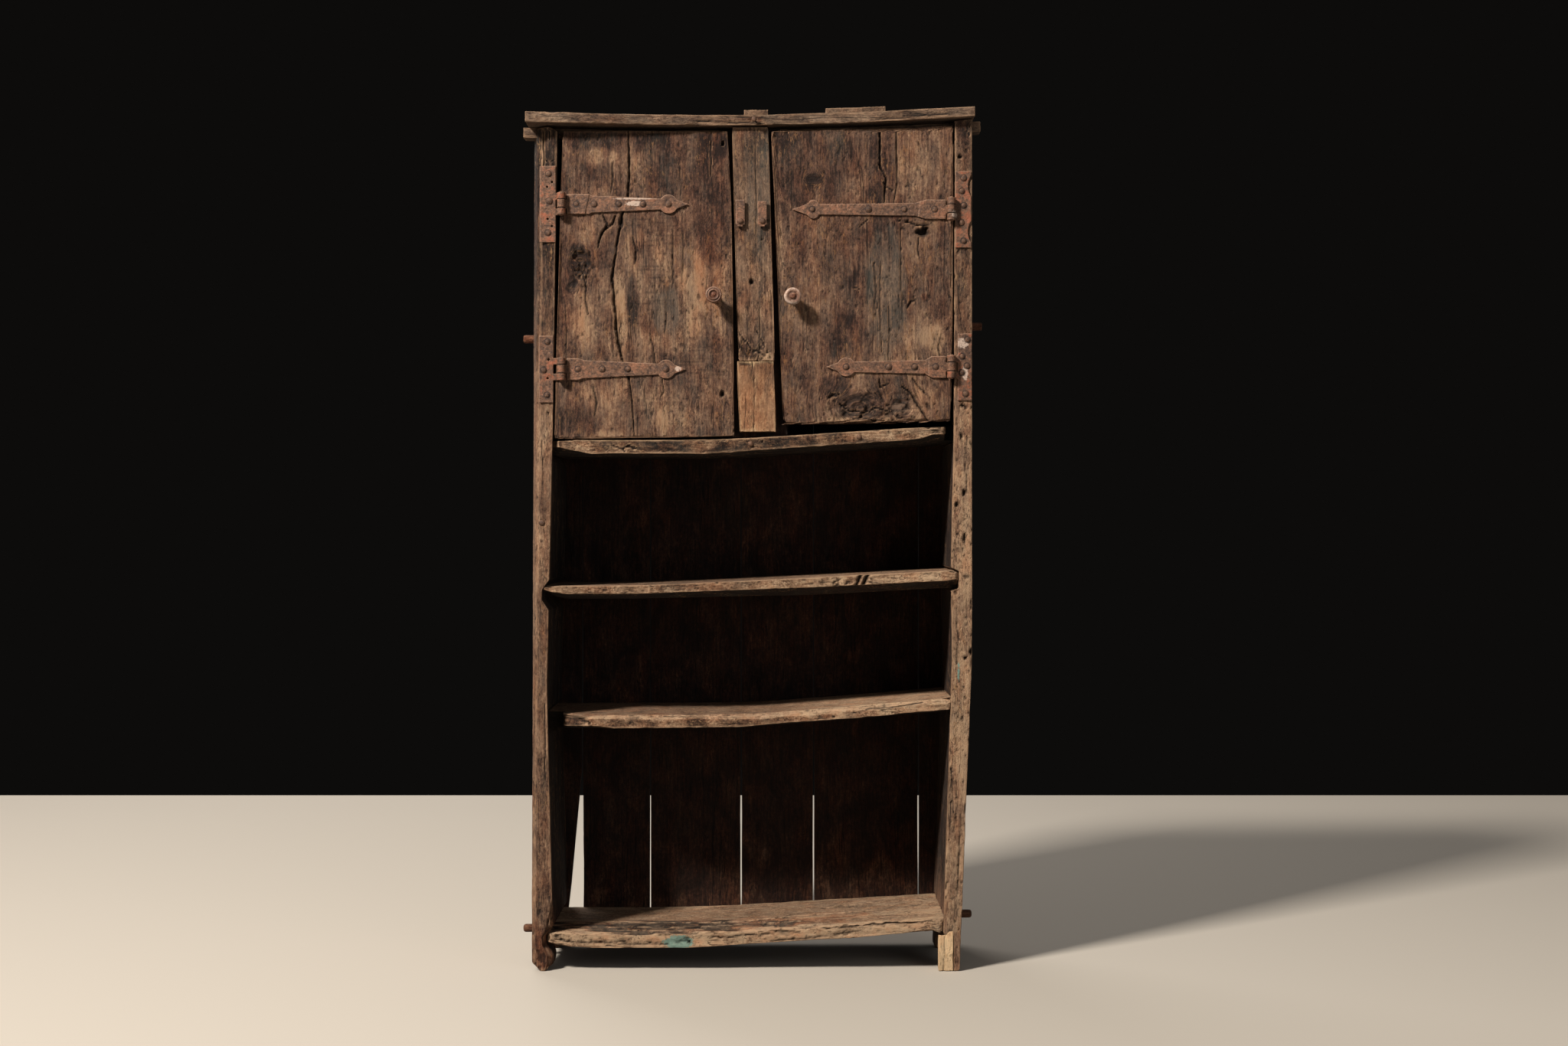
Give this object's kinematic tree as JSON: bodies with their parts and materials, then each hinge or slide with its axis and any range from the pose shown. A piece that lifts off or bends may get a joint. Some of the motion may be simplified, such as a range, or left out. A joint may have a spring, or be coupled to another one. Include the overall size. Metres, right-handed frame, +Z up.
{
  "type": "book cabinet",
  "caption": "Tall rustic plank cabinet: a cupboard with paired doors on iron strap hinges over open shelf bays, with turned wooden knobs and iron turn buttons.",
  "frame": {"origin": "on the floor, midway between the two sides and midway in depth", "axes": "+X to the right seen from the front, +Y from the doors to the back, +Z up"},
  "size_m": [0.989, 0.3782, 1.8086],
  "materials": {
    "side_oak": "weathered, dry",
    "door_oak": "weathered, mottled",
    "shelf_oak": "worn, dry",
    "top_oak": "weathered, dry",
    "back_oak": "dark, dusty",
    "repair_oak": "pale, dry",
    "knob_wood": "turned, hand-polished",
    "peg_wood": "dark, worn",
    "rusty_iron": "rusty, hand-forged"
  },
  "bodies": {
    "case": {"left_side": "side_oak", "right_side": "side_oak", "right_foot_repair": "repair_oak", "top_front_board": "top_oak", "top_rear_board": "top_oak", "top_batten": "top_oak", "top_patch_narrow": "top_oak", "top_patch_wide": "top_oak", "centre_stile": "side_oak", "stile_repair": "repair_oak", "stile_backing": "back_oak", "cupboard_floor": "shelf_oak", "cupboard_shelf": "shelf_oak", "upper_shelf": "shelf_oak", "lower_shelf": "shelf_oak", "bottom_shelf": "shelf_oak", "back_board_1": "back_oak", "back_board_2": "back_oak", "back_board_3": "back_oak", "back_board_4": "back_oak", "back_board_5": "back_oak", "back_board_6": "back_oak", "board_pegs": "peg_wood", "back_nails": "rusty_iron", "top_nails": "rusty_iron", "stile_nails": "rusty_iron", "edge_nails": "rusty_iron", "plate_nails": "rusty_iron", "left_upper_plate": "rusty_iron", "left_lower_plate": "rusty_iron", "right_upper_plate": "rusty_iron", "right_lower_plate": "rusty_iron", "left_upper_pin": "rusty_iron", "left_lower_pin": "rusty_iron", "right_upper_pin": "rusty_iron", "right_lower_pin": "rusty_iron", "left_button_screw": "rusty_iron", "right_button_screw": "rusty_iron"},
    "door_left": {"left_door": "door_oak", "left_knob": "knob_wood", "left_upper_strap": "rusty_iron", "left_lower_strap": "rusty_iron", "left_strap_nails": "rusty_iron"},
    "door_right": {"right_door": "door_oak", "right_knob": "knob_wood", "right_upper_strap": "rusty_iron", "right_lower_strap": "rusty_iron", "right_strap_nails": "rusty_iron"},
    "button_left": {"left_button": "rusty_iron"},
    "button_right": {"right_button": "rusty_iron"}
  },
  "joints": [
    {"name": "left_door_hinge", "type": "hinge", "parent": "case", "child": "door_left", "pos_m": [-0.3943, -0.1525, 0], "axis": [0, 0, -1], "range_deg": [0, 110]},
    {"name": "right_door_hinge", "type": "hinge", "parent": "case", "child": "door_right", "pos_m": [0.419, -0.1525, 0], "axis": [0, 0, 1], "range_deg": [0, 110]},
    {"name": "left_button_turn", "type": "hinge", "parent": "case", "child": "button_left", "pos_m": [-0.02141, -0.1468, 1.567], "axis": [0, -1, 0], "range_deg": [0, 180]},
    {"name": "right_button_turn", "type": "hinge", "parent": "case", "child": "button_right", "pos_m": [0.02459, -0.1468, 1.567], "axis": [0, 1, 0], "range_deg": [0, 180]}
  ]
}
